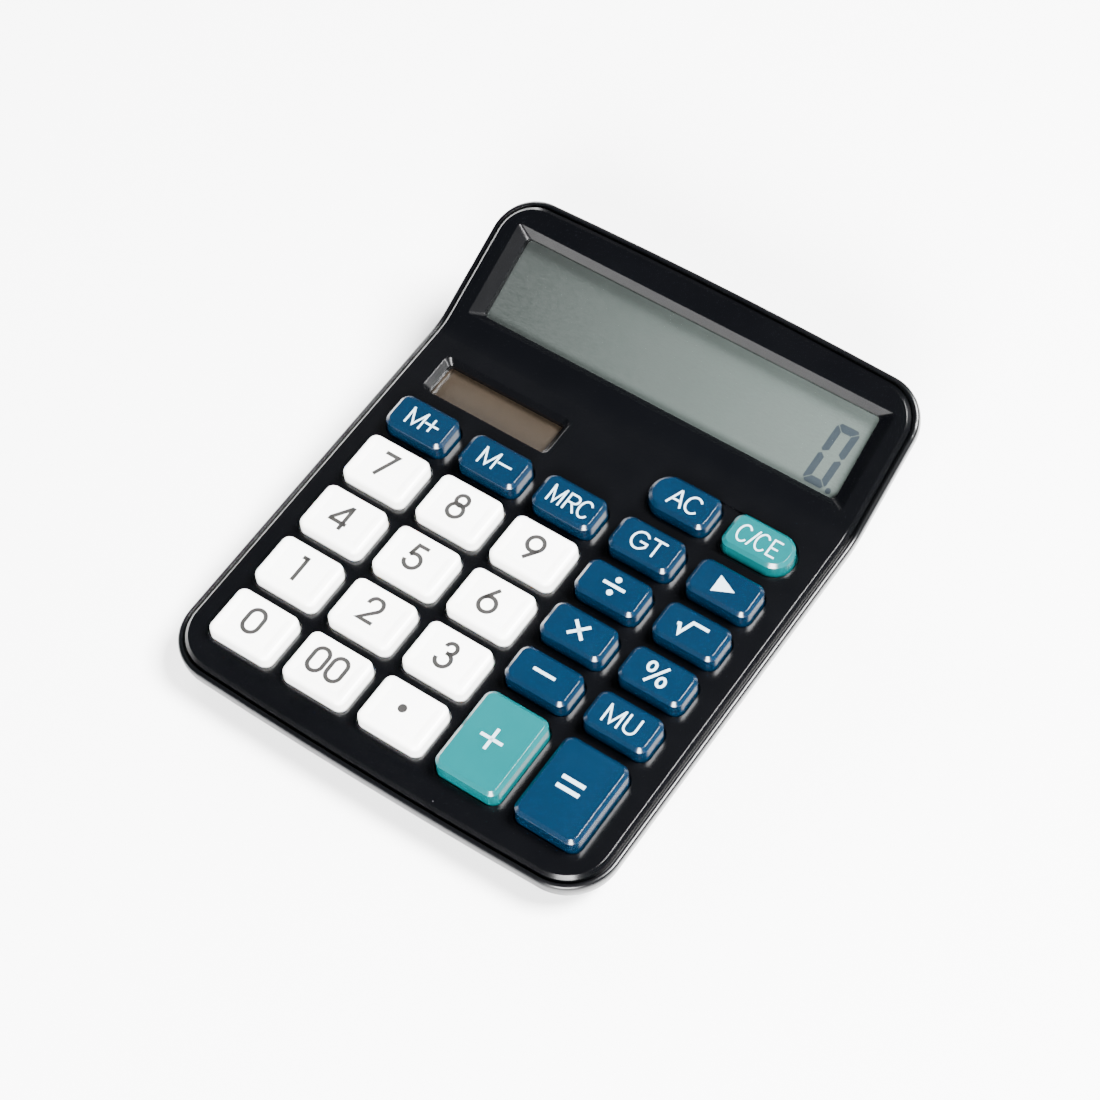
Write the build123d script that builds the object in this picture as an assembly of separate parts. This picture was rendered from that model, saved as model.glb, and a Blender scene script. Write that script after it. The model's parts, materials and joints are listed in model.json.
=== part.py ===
from build123d import *

import os
from dataclasses import dataclass
from math import cos, radians, sin, tan

# Desktop calculator: a bent two-shell body, 27 sprung keys, a tilted display and a sliding battery door.
#
# Everything is drawn in the deck frame and seated on the table at the end.
# Deck frame: X to the right, Y from the front rim to the rear along the key deck, Z out of the deck.
# A depth is measured straight down into the body from the top face, deck and display face alike.

os.makedirs("parts", exist_ok=True)

# ---------------------------------------------------------------- driving dimensions, mm and degrees
BODY_WIDTH = 119.7
DECK_LENGTH = 110.6          # front rim to the fold line
DISPLAY_LENGTH = 37.8        # fold line to the rear rim, along the display face
BODY_DEPTH = 10.0            # thickness of the bent body at its rim
DECK_TILT = 5.75             # key deck above the table
DISPLAY_TILT = 24.5          # display face above the key deck
FOLD_RADIUS = 14.0           # rounding of the fold, in the top face
EDGE_BOW = 1.1               # bulge of the front and rear edges at mid width
FRONT_CORNER = 13.0          # plan radii of the rim's corners
REAR_CORNER = 11.5
LOWER_EDGE_RADIUS = 7.2

WALL = 1.75                  # lower case
SHELL = 2.0                  # upper case, deck and display face
SKIRT = 1.6                  # upper case, side wall
RIM_DEPTH = 1.15             # the lower case's rim sits this far below the top face
GROOVE_INNER = 1.85          # the parting groove, measured in from the rim's outside
GROOVE_OUTER = 1.15
GROOVE_DEPTH = 2.2
SKIRT_DEPTH = 3.4
SHELL_CHAMFER = 0.8

FOOT_STAND = 1.0             # how far the rubber feet stand out of the base
FOOT_RECESS = 0.8
FOOT_RADIUS = 4.0
BASE_START = 7.0             # where the flat base leaves the body's underside
BASE_WIDTH = 88.0
BASE_LENGTH = 125.0
BASE_CORNER = 9.0
BASE_DRAFT = 3.0
BASE_EDGE = 1.6

NUMBER_BLOCK_X = -21.45      # middle column of the number keys
NUMBER_PITCH_X = 21.25
NUMBER_PITCH_Y = 17.0
FIRST_ROW_Y = 15.8
FUNCTION_BLOCK_X = 32.15     # midway between the two function columns
FUNCTION_PITCH_X = 21.35
FUNCTION_PITCH_Y = 13.8
MEMORY_ROW_Y = 81.6
CLEAR_ROW_Y = 96.7
TALL_KEY_Y = 20.0

NUMBER_KEY = (17.45, 13.75)
FUNCTION_KEY = (17.2, 10.0)
MEMORY_KEY = (16.9, 10.0)
TALL_KEY = (17.2, 22.8)
NUMBER_KEY_HEIGHT = 3.1
FUNCTION_KEY_HEIGHT = 4.45
CLEAR_KEY_HEIGHT = 3.4
NUMBER_KEY_ROUND = 1.1       # soft top edge of a number key
FUNCTION_KEY_BEVEL = 0.85    # flat bevel of a coloured key
NUMBER_KEY_CORNER = 2.1      # plan corner radii
FUNCTION_KEY_CORNER = 2.5
KEY_DRAFT = 1.5
KEY_GAP = 0.45               # between a key and its opening
KEY_TRAVEL = 1.2
FLANGE_TOP = 2.1             # retaining flange of a key, under the deck
FLANGE_BOTTOM = 3.0
FLANGE_REACH = 0.6
TALL_KEY_DOME = 5.5          # a tall key's two domes sit this far from its middle

WINDOW = (100.6, 22.15)      # straight opening over the display glass
WINDOW_CENTRE = 17.1         # from the fold line, along the display face
WINDOW_BEVEL_DEPTH = 1.5
WINDOW_RIM = (107.0, 25.6)   # outer edge of the sloped recess
WINDOW_RIM_CENTRE = 17.4
WINDOW_HOUSING_DEPTH = 3.5    # the clear window lies against this

FLEX_HALF_WIDTH = 32.0

SOLAR_CENTRE = (-32.65, 97.0)
SOLAR_OPENING = (33.75, 9.4)
SOLAR_RIM = (36.7, 11.3)
SOLAR_RIM_SHIFT = 0.25       # the rim's middle lies this far behind the opening's
SOLAR_BEVEL_DEPTH = 1.3
SOLAR_HOUSING_DEPTH = 2.7

CLEAR_RECESS = (40.2, 12.4)  # shallow recess shared by the two clear keys
CLEAR_RECESS_Y = 96.7
CLEAR_RECESS_DEPTH = 0.4

PCB_TOP = 6.0
PCB_BOTTOM = 7.2
PCB_FRONT = 9.3
PCB_REAR = 103.0
PCB_HALF_WIDTH = 50.0
KEYPAD_SHEET = 0.7           # thickness of the rubber sheet that lies on the board
DOME_HOLLOW = 2.5
DOME_CEILING = 5.25

BATTERY_RADIUS = 7.25
BATTERY_LENGTH = 50.5
BATTERY_NUB = (2.6, 1.2)     # radius and length of the positive nub
BATTERY_Y = 114.5            # in the base frame, from where the flat base starts
BATTERY_HEIGHT = 9.4
BAY_HALF_LENGTH = 28.6
BAY_HALF_WIDTH = 7.7
CONTACT_THICKNESS = 0.3
DOOR_HALF_WIDTH = 27.4
DOOR_THICKNESS = 1.8
DOOR_TONGUE = 1.0
DOOR_GAP = 0.15

CASE_SCREW_RADIUS = 1.1
CASE_SCREW_HEAD = 1.9
CASE_SCREW_LAND = (5.0, 6.8)  # depths between which a lower boss is clamped
PCB_SCREW_RADIUS = 0.8

# ---------------------------------------------------------------- frames
UP = (0, sin(radians(DECK_TILT)), cos(radians(DECK_TILT)))
DECK = Plane.XY
DISPLAY = Plane(
    origin=(0, DECK_LENGTH, 0),
    x_dir=(1, 0, 0),
    z_dir=(0, -sin(radians(DISPLAY_TILT)), cos(radians(DISPLAY_TILT))),
)
BASE = Plane(origin=(0, BASE_START, -BODY_DEPTH), x_dir=(1, 0, 0), z_dir=UP)
TABLE = BASE.offset(-FOOT_STAND)


# ---------------------------------------------------------------- shared shapes
def slab(plane, outline, top, bottom):
    """The outline, drawn on the plane, as a solid between two depths below it."""
    return extrude(plane.offset(-bottom) * outline, bottom - top)


def side_band(top, bottom):
    """The bent body's side profile between two depths, as wide as needed."""
    reach = 40.0
    arc_start = DECK_LENGTH - FOLD_RADIUS * tan(radians(DISPLAY_TILT / 2))

    def profile_line(depth):
        bend = DISPLAY.from_local_coords((0, DECK_LENGTH - arc_start, -depth))
        rear = DISPLAY.from_local_coords((0, DISPLAY_LENGTH + reach, -depth))
        start = (arc_start, -depth)
        return [
            Line((-reach, -depth), start),
            TangentArc(start, (bend.Y, bend.Z), tangent=(1, 0)),
            Line((bend.Y, bend.Z), (rear.Y, rear.Z)),
        ]

    upper = profile_line(top)
    lower = profile_line(bottom)
    ends = [Line(upper[0] @ 0, lower[0] @ 0), Line(upper[2] @ 1, lower[2] @ 1)]
    return extrude(Plane.YZ * make_face(upper + lower + ends), BODY_WIDTH, both=True)


def rim_outline(inset, corner, length):
    """Plan of one end of the body: straight sides and a bowed end at Y = 0."""
    half = BODY_WIDTH / 2 - inset
    end = ThreePointArc((-half, inset), (0, inset - EDGE_BOW), (half, inset))
    sides = [Line((-half, length), end @ 0), Line(end @ 1, (half, length))]
    outline = make_face([end, *sides, Line((half, length), (-half, length))])
    return fillet(outline.vertices().sort_by(Axis.Y)[:2], corner - inset)


def bent_body(inset, top, bottom):
    """The body's plan, set in by the inset, between two depths below the bent top face."""
    reach = 80.0
    front = rim_outline(inset, FRONT_CORNER, DECK_LENGTH + reach)
    rear = Rot(0, 0, 180) * rim_outline(inset, REAR_CORNER, DECK_LENGTH + reach)
    front_block = extrude(DECK * front, reach, both=True)
    rear_block = extrude(DISPLAY * Pos(0, DISPLAY_LENGTH) * rear, reach, both=True)
    return side_band(top, bottom) & front_block & rear_block


def edges_at_depth(solid, depth):
    """The outline edges of a bent body at one depth, without the seams across the fold."""
    def is_at_depth(edge):
        middle = edge @ 0.5
        straight_down = DISPLAY.to_local_coords(middle)
        if abs(straight_down.Y) < FOLD_RADIUS / 2:
            centre = Vector(0, DECK_LENGTH - FOLD_RADIUS * tan(radians(DISPLAY_TILT / 2)), FOLD_RADIUS)
            here = (Vector(0, middle.Y, middle.Z) - centre).length - FOLD_RADIUS
        elif straight_down.Y > 0:
            here = -straight_down.Z
        else:
            here = -middle.Z
        crosses = abs((edge % 0.5).X) > 0.99 and edge.geom_type == GeomType.LINE
        return abs(here - depth) < 0.05 and not crosses

    return solid.edges().filter_by(is_at_depth)


def rounded(size, corner):
    return RectangleRounded(size[0], size[1], corner)


def grow(sketch, amount):
    return offset(sketch, amount, kind=Kind.ARC)


# ---------------------------------------------------------------- keys
@dataclass
class Key:
    """One key: node name, place on the deck, plan outline, height and the look of its top."""

    name: str
    x: float
    y: float
    outline: Sketch
    height: float = FUNCTION_KEY_HEIGHT
    dished: bool = False
    dome_offset: float = 0.0

    def dome_places(self):
        if self.dome_offset:
            return [(self.x, self.y - self.dome_offset), (self.x, self.y + self.dome_offset)]
        return [(self.x, self.y)]


def round_end_outline(size, left):
    """A key outline with one end fully round."""
    outline = Rectangle(*size)
    square_end = outline.vertices().sort_by(Axis.X, reverse=left)[:2]
    outline = fillet(square_end, FUNCTION_KEY_CORNER)
    round_end = outline.vertices().sort_by(Axis.X, reverse=not left)[:2]
    return fillet(round_end, size[1] * 0.48)


def number_keys():
    rows = [
        ["key_0", "key_00", "key_point"],
        ["key_1", "key_2", "key_3"],
        ["key_4", "key_5", "key_6"],
        ["key_7", "key_8", "key_9"],
    ]
    keys = []
    for row, names in enumerate(rows):
        for column, name in enumerate(names):
            x = NUMBER_BLOCK_X + (column - 1) * NUMBER_PITCH_X
            y = FIRST_ROW_Y + row * NUMBER_PITCH_Y
            outline = rounded(NUMBER_KEY, NUMBER_KEY_CORNER)
            keys.append(Key(name, x, y, outline, NUMBER_KEY_HEIGHT, dished=True))
    return keys


def memory_keys():
    keys = []
    for column, name in enumerate(["key_memory_plus", "key_memory_minus", "key_memory_recall"]):
        x = NUMBER_BLOCK_X + (column - 1) * NUMBER_PITCH_X
        keys.append(Key(name, x, MEMORY_ROW_Y, rounded(MEMORY_KEY, FUNCTION_KEY_CORNER)))
    return keys


def function_keys():
    columns = [
        ["key_grand_total", "key_divide", "key_multiply", "key_minus"],
        ["key_correct", "key_square_root", "key_percent", "key_markup"],
    ]
    keys = []
    for column, names in enumerate(columns):
        x = FUNCTION_BLOCK_X + (column - 0.5) * FUNCTION_PITCH_X
        for row, name in enumerate(names):
            y = MEMORY_ROW_Y - row * FUNCTION_PITCH_Y
            keys.append(Key(name, x, y, rounded(FUNCTION_KEY, FUNCTION_KEY_CORNER)))
    return keys


def end_keys():
    """The two tall keys at the front and the two round-ended clear keys at the rear."""
    left = FUNCTION_BLOCK_X - FUNCTION_PITCH_X / 2
    right = FUNCTION_BLOCK_X + FUNCTION_PITCH_X / 2
    tall = rounded(TALL_KEY, FUNCTION_KEY_CORNER)
    round_left = round_end_outline(FUNCTION_KEY, left=True)
    round_right = round_end_outline(FUNCTION_KEY, left=False)
    return [
        Key("key_plus", left, TALL_KEY_Y, tall, dome_offset=TALL_KEY_DOME),
        Key("key_equals", right, TALL_KEY_Y, tall, dome_offset=TALL_KEY_DOME),
        Key("key_all_clear", left, CLEAR_ROW_Y, round_left, CLEAR_KEY_HEIGHT),
        Key("key_clear_entry", right, CLEAR_ROW_Y, round_right, CLEAR_KEY_HEIGHT),
    ]


KEYS = number_keys() + memory_keys() + function_keys() + end_keys()


def key_dish(key):
    """The shallow tray in the top of a number key."""
    margin = NUMBER_KEY_ROUND + 0.6
    slope = 1.1
    depth = 0.22
    outer = Pos(0, 0, key.height) * grow(key.outline, -margin)
    inner = Pos(0, 0, key.height - depth) * grow(key.outline, -margin - slope)
    return loft([outer, inner])


def key_solid(key):
    """A hollow cap with a retaining flange under the deck and plungers over its domes."""
    wall = 1.3
    roof_depth = 1.5 - key.height
    plunger_radius = 1.7

    cap = extrude(key.outline, key.height, taper=KEY_DRAFT)
    top_edges = cap.faces().sort_by(Axis.Z)[-1].edges()
    if key.dished:
        cap = fillet(top_edges, NUMBER_KEY_ROUND) - key_dish(key)
    else:
        cap = chamfer(top_edges, FUNCTION_KEY_BEVEL)
    stem = slab(DECK, key.outline, 0, FLANGE_BOTTOM)
    flange = slab(DECK, grow(key.outline, FLANGE_REACH), FLANGE_TOP, FLANGE_BOTTOM)
    hollow = slab(DECK, grow(key.outline, -wall), roof_depth, FLANGE_BOTTOM)
    solid = Pos(key.x, key.y) * (cap + stem + flange - hollow)
    for place in key.dome_places():
        solid += slab(DECK, Pos(*place) * Circle(plunger_radius), roof_depth, FLANGE_BOTTOM)
    return solid


# ---------------------------------------------------------------- screws and bosses
def case_screw_places():
    """Frames whose origin is on the top face over each case screw, Z out of the body."""
    sides = [Pos(x, y) for x in (-54.4, 54.4) for y in (24.3, 105.0)]
    rear = [DISPLAY.location * Pos(x, 32.9) for x in (-40.0, 40.0)]
    return sides + rear


def pcb_screw_places():
    """Points of the deck between keys, where the board is screwed up against the upper case."""
    left_gap = NUMBER_BLOCK_X - NUMBER_PITCH_X / 2
    right_gap = NUMBER_BLOCK_X + NUMBER_PITCH_X / 2
    row_gaps = [FIRST_ROW_Y + (row + 0.5) * NUMBER_PITCH_Y for row in (0, 2)]
    number_block = [(x, y) for x in (left_gap, right_gap) for y in row_gaps]
    function_block = [(FUNCTION_BLOCK_X, MEMORY_ROW_Y - 1.5 * FUNCTION_PITCH_Y)]
    tall_keys_end = TALL_KEY_Y + TALL_KEY[1] / 2
    first_short_key_start = MEMORY_ROW_Y - 3 * FUNCTION_PITCH_Y - FUNCTION_KEY[1] / 2
    tall_gap = (tall_keys_end + first_short_key_start) / 2
    clear_gap = (MEMORY_ROW_Y + CLEAR_ROW_Y) / 2
    ends = [(FUNCTION_BLOCK_X, tall_gap), (FUNCTION_BLOCK_X, clear_gap), (left_gap, clear_gap)]
    return number_block + function_block + ends


def cylinder_at(place, radius, top, bottom):
    """A round bar under a top-face frame, between two depths."""
    return place * Pos(0, 0, -bottom) * extrude(Circle(radius), bottom - top)


def cross_slot(place, radius, depth):
    """The cross recess in a screw head whose outer end is at this depth."""
    arm = Rectangle(1.3 * radius, 0.28 * radius) + Rectangle(0.28 * radius, 1.3 * radius)
    return place * Pos(0, 0, -depth) * extrude(arm, 0.5)


def screw(place, radius, head_radius, tip, head_top, head_bottom):
    """A screw driven upwards from below; depths run down from the top face."""
    shank = cylinder_at(place, radius, tip, head_top)
    head = cylinder_at(place, head_radius, head_top, head_bottom)
    return shank + head - cross_slot(place, head_radius, head_bottom)


def case_screws():
    land = CASE_SCREW_LAND[1]
    solids = []
    for place in case_screw_places():
        solids.append(screw(place, CASE_SCREW_RADIUS, CASE_SCREW_HEAD, 2.6, land, land + 1.4))
    return solids


def pcb_screws():
    solids = []
    for x, y in pcb_screw_places():
        solids.append(screw(Pos(x, y), PCB_SCREW_RADIUS, 1.5, 3.2, PCB_BOTTOM, PCB_BOTTOM + 0.8))
    return solids


# ---------------------------------------------------------------- upper case
def window_recess():
    """The sloped recess of the display and the straight opening at its foot."""
    rim = Pos(0, WINDOW_RIM_CENTRE) * rounded(WINDOW_RIM, 0.8)
    foot = Pos(0, WINDOW_CENTRE, -WINDOW_BEVEL_DEPTH) * rounded(WINDOW, 1.2)
    opening = slab(DISPLAY, Pos(0, WINDOW_CENTRE) * rounded(WINDOW, 1.2), WINDOW_BEVEL_DEPTH, 8)
    return DISPLAY * loft([rim, foot]) + opening


def solar_recess():
    x, y = SOLAR_CENTRE
    rim = Pos(x, y + SOLAR_RIM_SHIFT) * rounded(SOLAR_RIM, 1.6)
    foot = Pos(x, y, -SOLAR_BEVEL_DEPTH) * rounded(SOLAR_OPENING, 1.0)
    opening = slab(DECK, Pos(x, y) * rounded(SOLAR_OPENING, 1.0), SOLAR_BEVEL_DEPTH, 5)
    return loft([rim, foot]) + opening


def upper_case():
    shell = bent_body(GROOVE_INNER, 0, SKIRT_DEPTH)
    shell = chamfer(edges_at_depth(shell, 0), SHELL_CHAMFER)
    shell -= bent_body(GROOVE_INNER + SKIRT, SHELL, BODY_DEPTH)

    housing_wall = 1.6
    housing_size = (WINDOW_RIM[0] + 2 * housing_wall, WINDOW_RIM[1] + 2 * housing_wall)
    housing = Pos(0, WINDOW_RIM_CENTRE) * rounded(housing_size, 1.5)
    shell += slab(DISPLAY, housing, SHELL / 2, WINDOW_HOUSING_DEPTH)
    solar_housing = Pos(*SOLAR_CENTRE) * grow(rounded(SOLAR_OPENING, 1.0), 2.4)
    shell += slab(DECK, solar_housing, SHELL / 2, SOLAR_HOUSING_DEPTH)
    for place in case_screw_places():
        shell += cylinder_at(place, 1.9, SHELL / 2, CASE_SCREW_LAND[0])
    for x, y in pcb_screw_places():
        shell += cylinder_at(Pos(x, y), 1.8, SHELL / 2, PCB_TOP)

    shell -= window_recess()
    shell -= solar_recess()
    clear_recess = Pos(FUNCTION_BLOCK_X, CLEAR_RECESS_Y) * SlotOverall(*CLEAR_RECESS)
    shell -= slab(DECK, clear_recess, 0, CLEAR_RECESS_DEPTH)
    for key in KEYS:
        shell -= slab(DECK, Pos(key.x, key.y) * grow(key.outline, KEY_GAP), 0, SHELL)
    for place in case_screw_places():
        shell -= cylinder_at(place, CASE_SCREW_RADIUS, 2.6, CASE_SCREW_LAND[0])
    for x, y in pcb_screw_places():
        shell -= cylinder_at(Pos(x, y), PCB_SCREW_RADIUS, 3.2, PCB_TOP)
    return shell


# ---------------------------------------------------------------- lower case
def base_block(inset, floor):
    """The flat-bottomed base under the bent body, set in all round, above a floor height."""
    hidden_front = 1.0
    size = (BASE_WIDTH - 2 * inset, BASE_LENGTH - inset + hidden_front)
    plan = Pos(0, size[1] / 2 - hidden_front) * rounded(size, BASE_CORNER - inset)
    block = extrude(plan, 50, taper=-BASE_DRAFT)
    block = fillet(block.faces().sort_by(Axis.Z)[0].edges(), BASE_EDGE)
    return BASE * Pos(0, 0, floor) * block


def door_opening(clearance):
    """The door's outline through the base's floor, with tongues along its sides."""
    front = BATTERY_Y - BAY_HALF_WIDTH + 0.4 - clearance
    length = BASE_LENGTH + 5 - front
    centre = front + length / 2
    half = DOOR_HALF_WIDTH + clearance
    plate = Pos(0, centre) * Rectangle(2 * half, length)
    tongues = Pos(0, centre) * Rectangle(2 * (half + DOOR_TONGUE), length)
    tongue_low = 0.9 - clearance
    through = extrude(BASE * plate, DOOR_THICKNESS + clearance)
    return through + extrude(BASE.offset(tongue_low) * tongues, DOOR_THICKNESS + clearance - tongue_low)


def battery_door():
    """A sliding plate that follows the base's own outside, with a ridged thumb pad."""
    plate = door_opening(0) & base_block(0, 0)
    for ridge in range(5):
        groove = BASE * Pos(0, BASE_LENGTH - 5.5 - 1.6 * ridge) * Rectangle(16 - 2 * ridge, 0.7)
        plate -= extrude(groove, 0.4)
    return plate


def battery_bay():
    """Walls that stand on the lower case's floor and hold the battery and its contacts."""
    wall = 1.4
    floor = BASE.offset(WALL - 0.1)
    walls = []
    for side in (-1, 1):
        end = Pos(side * (BAY_HALF_LENGTH + wall / 2), BATTERY_Y) * Rectangle(wall, 2 * BAY_HALF_WIDTH + 2)
        walls.append(extrude(floor * end, 12.0))
    front = Pos(0, BATTERY_Y - BAY_HALF_WIDTH - wall / 2) * Rectangle(2 * (BAY_HALF_LENGTH + wall), wall)
    walls.append(extrude(floor * front, 7.0))
    return walls


def foot_places():
    return [Pos(x, y) for x in (-37.6, 37.6) for y in (10.0, BASE_LENGTH - 12.0)]


def lower_case():
    tub = bent_body(0, RIM_DEPTH, BODY_DEPTH)
    tub = fillet(edges_at_depth(tub, BODY_DEPTH), LOWER_EDGE_RADIUS)
    tub = fillet(edges_at_depth(tub, RIM_DEPTH), 0.9)
    below = side_band(BODY_DEPTH - 1, 70)
    outside = tub + (base_block(0, 0) & below)

    cavity = bent_body(WALL, -5, BODY_DEPTH - WALL)
    cavity = fillet(edges_at_depth(cavity, BODY_DEPTH - WALL), LOWER_EDGE_RADIUS - WALL)
    cavity += base_block(WALL, WALL) & side_band(BODY_DEPTH - WALL - 2, 70)
    tub = outside - cavity
    tub -= bent_body(GROOVE_OUTER, -5, GROOVE_DEPTH)

    for wall in battery_bay():
        tub += wall
    for place in case_screw_places():
        tub += cylinder_at(place, 2.9, CASE_SCREW_LAND[0], BODY_DEPTH - 1) & outside
    for place in case_screw_places():
        tub -= cylinder_at(place, CASE_SCREW_HEAD + 0.3, CASE_SCREW_LAND[1], BODY_DEPTH + 2)
        tub -= cylinder_at(place, CASE_SCREW_RADIUS + 0.1, 0, BODY_DEPTH)
    for place in foot_places():
        tub -= extrude(BASE * place * Circle(FOOT_RADIUS + 0.1), FOOT_RECESS)
    return tub - door_opening(DOOR_GAP)


def rubber_feet():
    feet = []
    for place in foot_places():
        foot = extrude(TABLE * place * Circle(FOOT_RADIUS), FOOT_STAND + FOOT_RECESS)
        feet.append(foot)
    return feet


# ---------------------------------------------------------------- display and solar cell
def display_plate(width, front, rear, top, bottom, corner=0.3):
    """A flat plate of the display stack, placed by its edges along the display face."""
    outline = Pos(0, (front + rear) / 2) * rounded((width, rear - front), corner)
    return slab(DISPLAY, outline, top, bottom)


def display_stack():
    width = 103.0
    front = 5.0
    rear = 29.0
    ledge = 2.4
    window_bottom = WINDOW_HOUSING_DEPTH + 0.8
    top = window_bottom + 0.1
    frame = display_plate(107.0, ledge - 0.9, rear + 0.9, window_bottom, top + 2.6)
    frame -= display_plate(width + 0.2, ledge - 0.1, rear + 0.1, 0, top + 1.8)
    frame -= display_plate(width - 4.0, ledge + 2.0, rear - 2.0, 0, 9.0)
    frame -= display_plate(2 * FLEX_HALF_WIDTH + 2, ledge - 2.0, ledge + 1.0, 0, top + 1.8)
    return {
        "display_window": display_plate(
            width + 1.0, front - 0.5, rear + 0.5, WINDOW_HOUSING_DEPTH, window_bottom
        ),
        "lcd_front_polarizer": display_plate(width - 1.0, front + 0.4, rear - 0.4, top, top + 0.15),
        "lcd_front_glass": display_plate(width, front, rear, top + 0.15, top + 0.8),
        "lcd_rear_glass": display_plate(width, ledge, rear, top + 0.8, top + 1.45),
        "lcd_reflector": display_plate(width - 1.0, front, rear - 0.4, top + 1.45, top + 1.7),
        "lcd_frame": frame,
    }


def display_flex():
    """The flat printed ribbon from the board to the contact ledge of the rear glass."""
    thickness = 0.2
    ledge_depth = WINDOW_HOUSING_DEPTH + 1.6
    ledge_front = DISPLAY.from_local_coords((0, 2.45, -ledge_depth))
    ledge_rear = DISPLAY.from_local_coords((0, 4.7, -ledge_depth))
    route = [
        (PCB_REAR - 4, -PCB_BOTTOM - thickness / 2),
        (PCB_REAR + 1.5, -PCB_BOTTOM - thickness / 2),
        (ledge_front.Y - 2.5, ledge_front.Z - 0.6),
        (ledge_front.Y, ledge_front.Z),
        (ledge_rear.Y, ledge_rear.Z),
    ]
    path = FilletPolyline(*route, radius=0.6)
    ribbon = trace(path, thickness)
    return extrude(Plane.YZ * ribbon, FLEX_HALF_WIDTH, both=True)


def solar_parts():
    """A clear window, the cell behind it and the cell's two leads down to the board."""
    sheet_bottom = SOLAR_HOUSING_DEPTH + 0.6
    cell_bottom = sheet_bottom + 1.1
    place = Pos(*SOLAR_CENTRE)
    window = slab(DECK, place * grow(rounded(SOLAR_OPENING, 1.0), 1.2), SOLAR_HOUSING_DEPTH, sheet_bottom)
    cell = slab(DECK, place * grow(rounded(SOLAR_OPENING, 0.5), 0.8), sheet_bottom, cell_bottom)
    leads = [cylinder_at(place * Pos(side * 14, 0), 0.35, cell_bottom, PCB_TOP) for side in (-1, 1)]
    return {"solar_window": window, "solar_cell": cell, "solar_leads": leads}


# ---------------------------------------------------------------- keypad and board
def keypad():
    """The rubber sheet under the keys, with a dome below each plunger, drawn as low as a press leaves it."""
    sheet_top = PCB_TOP - KEYPAD_SHEET
    dome_top = FLANGE_BOTTOM + KEY_TRAVEL + 0.15
    dome_height = sheet_top - dome_top
    number_part = Pos(0, (PCB_FRONT + 90) / 2) * Rectangle(2 * PCB_HALF_WIDTH, 90 - PCB_FRONT)
    clear_part = Pos(FUNCTION_BLOCK_X, 94) * Rectangle(33, 16)
    sheet = slab(DECK, number_part + clear_part, sheet_top, PCB_TOP)
    for x, y in pcb_screw_places():
        sheet -= cylinder_at(Pos(x, y), 2.2, 0, PCB_TOP)
    for x, y in dome_places():
        sheet += Pos(x, y, -sheet_top) * extrude(Circle(4.0), dome_height, taper=45)
    for x, y in dome_places():
        sheet -= cylinder_at(Pos(x, y), DOME_HOLLOW, DOME_CEILING, PCB_TOP)
    return sheet


def dome_places():
    return [place for key in KEYS for place in key.dome_places()]


def carbon_pills():
    """The conductive disc under the ceiling of each dome."""
    return [cylinder_at(Pos(x, y), 1.5, DOME_CEILING, DOME_CEILING + 0.3) for x, y in dome_places()]


def main_board():
    outline = Pos(0, (PCB_FRONT + PCB_REAR) / 2) * Rectangle(2 * PCB_HALF_WIDTH, PCB_REAR - PCB_FRONT)
    board = slab(DECK, outline, PCB_TOP, PCB_BOTTOM)
    for x, y in pcb_screw_places():
        board -= cylinder_at(Pos(x, y), PCB_SCREW_RADIUS + 0.1, 0, PCB_BOTTOM + 1)
    return board


def board_components():
    """The chip under its resin, the capacitors and the chip resistors, all under the board."""
    blob = Pos(-12, 88, -PCB_BOTTOM) * extrude(Circle(6.0), -1.4, taper=30)
    capacitors = []
    for x in (-27.0, -21.5):
        can = Plane.XZ.offset(-95.0) * Pos(x, -PCB_BOTTOM - 2.5) * Circle(2.5)
        capacitors.append(extrude(can, 7.0))
    resistors = [Pos(8 + 4.0 * column, 92, -PCB_BOTTOM - 0.3) * Box(2.0, 1.25, 0.6) for column in range(6)]
    return {"chip_resin": blob, "capacitors": capacitors, "chip_resistors": resistors}


# ---------------------------------------------------------------- battery and contacts
def battery_cell():
    """A cylindrical cell along X, with its positive nub to the right."""
    nub_radius, nub_length = BATTERY_NUB
    nub_end = BAY_HALF_LENGTH - CONTACT_THICKNESS
    axis = BASE.location * Pos(nub_end, BATTERY_Y, BATTERY_HEIGHT) * Rot(0, -90, 0)
    can = Pos(0, 0, nub_length) * extrude(Circle(BATTERY_RADIUS), BATTERY_LENGTH - nub_length)
    can = fillet(can.edges().filter_by(GeomType.CIRCLE), 0.5)
    return axis * (can + extrude(Circle(nub_radius), nub_length + 1))


def contact_plate(side):
    """A sprung steel plate against one end wall of the bay."""
    x = side * (BAY_HALF_LENGTH - CONTACT_THICKNESS / 2)
    plate = Pos(x, BATTERY_Y) * Rectangle(CONTACT_THICKNESS, 2 * BAY_HALF_WIDTH - 2)
    return extrude(BASE.offset(2.4) * plate, 11.2)


def battery_spring():
    """The coil that presses the battery against the positive plate."""
    wire = 0.3
    radius = 3.6
    turns = 4
    plate_face = BAY_HALF_LENGTH - CONTACT_THICKNESS
    battery_end = BATTERY_LENGTH - plate_face
    length = plate_face - battery_end - 2 * wire
    coil = Helix(pitch=length / turns, height=length, radius=radius)
    start = Plane(origin=coil @ 0, z_dir=coil % 0)
    spring = sweep(start * Circle(wire), path=coil)
    return BASE.location * Pos(-plate_face + wire, BATTERY_Y, BATTERY_HEIGHT) * Rot(0, 90, 0) * spring


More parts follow.
